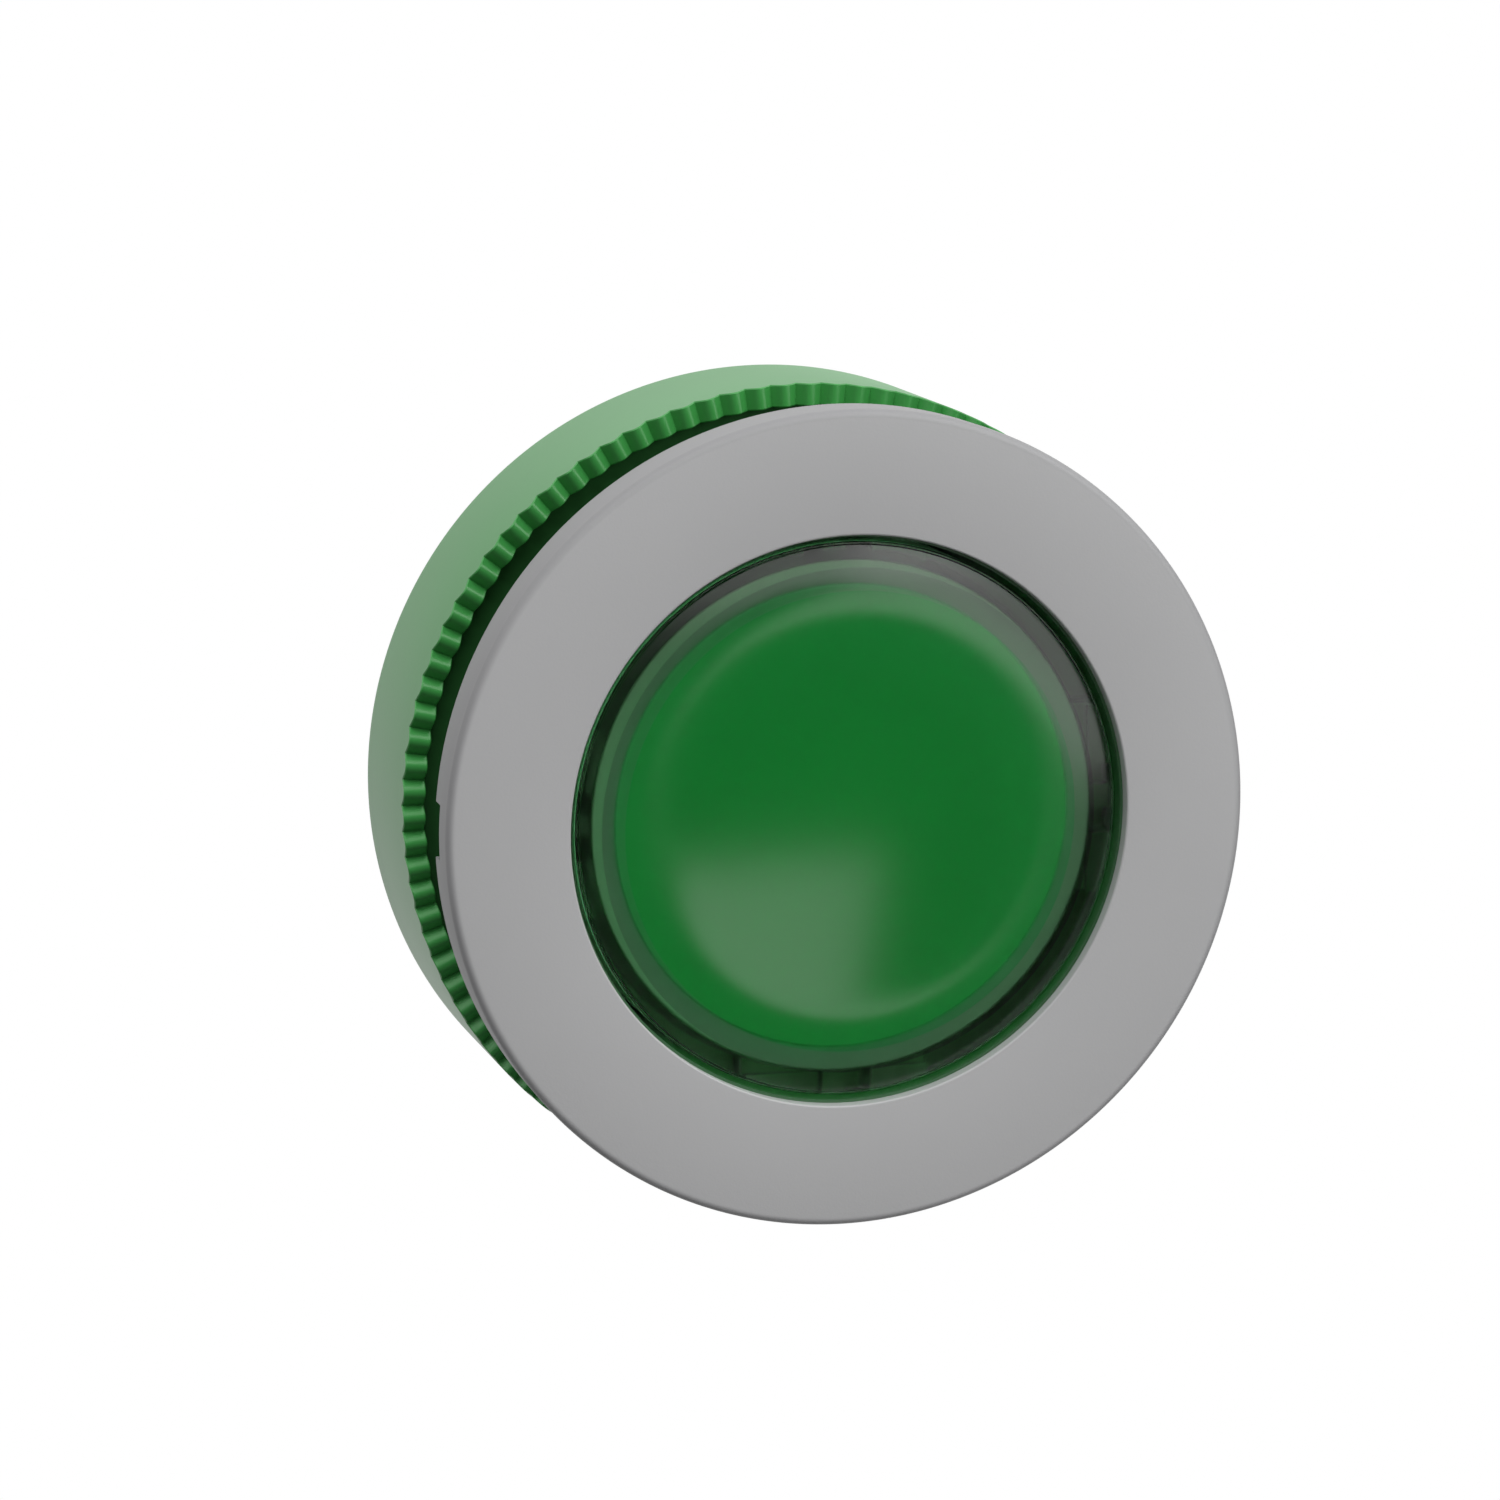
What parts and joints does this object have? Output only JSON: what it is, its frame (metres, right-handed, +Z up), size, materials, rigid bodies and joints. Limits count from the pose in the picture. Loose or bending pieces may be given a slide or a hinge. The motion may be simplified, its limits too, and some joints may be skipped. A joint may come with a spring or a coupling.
{
  "type": "illuminated push button",
  "caption": "Round flush-mounting illuminated push button: grey bezel, green lens, serrated green fixing nut and rear terminals.",
  "frame": {"origin": "on the button's axis, in the panel's front plane, which is the gasket's rear face", "axes": "-Y out of the front of the button towards the user, +Y towards the terminals, +Z up with the key at 12 o'clock, +X to the right seen from the front"},
  "size_m": [0.0374, 0.0365, 0.0374],
  "materials": {
    "satin_metal": "satin, bead blasted and clear coated",
    "green_moulding": "moulded, fine grain",
    "black_rubber": "moulded rubber",
    "green_lens": "polished, translucent green",
    "opal_plastic": "opal, satin",
    "white_plastic": "moulded",
    "black_plastic": "glass filled, moulded",
    "ivory_plastic": "moulded",
    "spring_steel": "bright drawn",
    "zinc_screw": "zinc plated",
    "circuit_board": "solder mask",
    "led_resin": "clear resin",
    "tinned_brass": "tin plated",
    "bridge_copper": "copper alloy with silver tips"
  },
  "bodies": {
    "housing": {"bezel_ring": "satin_metal", "panel_gasket": "black_rubber", "barrel": "green_moulding", "fixing_nut": "green_moulding", "pusher_seal": "black_rubber", "spring_washer": "spring_steel", "return_spring": "spring_steel", "contact_housing": "black_plastic", "housing_seal": "black_rubber", "terminal_plate": "black_plastic", "plate_screws": "zinc_screw", "lamp_post": "white_plastic", "lamp_board": "circuit_board", "lamp_led": "led_resin", "lamp_tab_lower": "tinned_brass", "lamp_tab_upper": "tinned_brass", "fixed_contact_no_lower": "tinned_brass", "fixed_contact_no_upper": "tinned_brass", "fixed_contact_nc_lower": "tinned_brass", "fixed_contact_nc_upper": "tinned_brass"},
    "button": {"lens_cap": "green_lens", "diffuser": "opal_plastic", "lens_carrier": "white_plastic", "retaining_clip": "spring_steel", "contact_yoke": "ivory_plastic", "contact_spring_no": "spring_steel", "contact_spring_nc": "spring_steel"},
    "bridge_no": {"contact_bridge_no": "bridge_copper"},
    "bridge_nc": {"contact_bridge_nc": "bridge_copper"}
  },
  "joints": [
    {"name": "press", "type": "slide", "parent": "housing", "child": "button", "axis": [0, 1, 0], "range_m": [0, 0.003], "stiffness_N_per_m": 900, "springref_m": -0.0018, "deforming": ["return_spring"]},
    {"name": "bridge_no_slip", "type": "slide", "parent": "button", "child": "bridge_no", "axis": [0, -1, 0], "range_m": [0, 0.0006], "deforming": ["contact_spring_no"]},
    {"name": "bridge_nc_slip", "type": "slide", "parent": "button", "child": "bridge_nc", "axis": [0, -1, 0], "range_m": [0, 0.0006], "deforming": ["contact_spring_nc"]}
  ],
  "couplings": [
    {"joint": "bridge_no_slip", "follows": "press", "ratio": 0.2},
    {"joint": "bridge_nc_slip", "follows": "press", "ratio": 0.2}
  ]
}
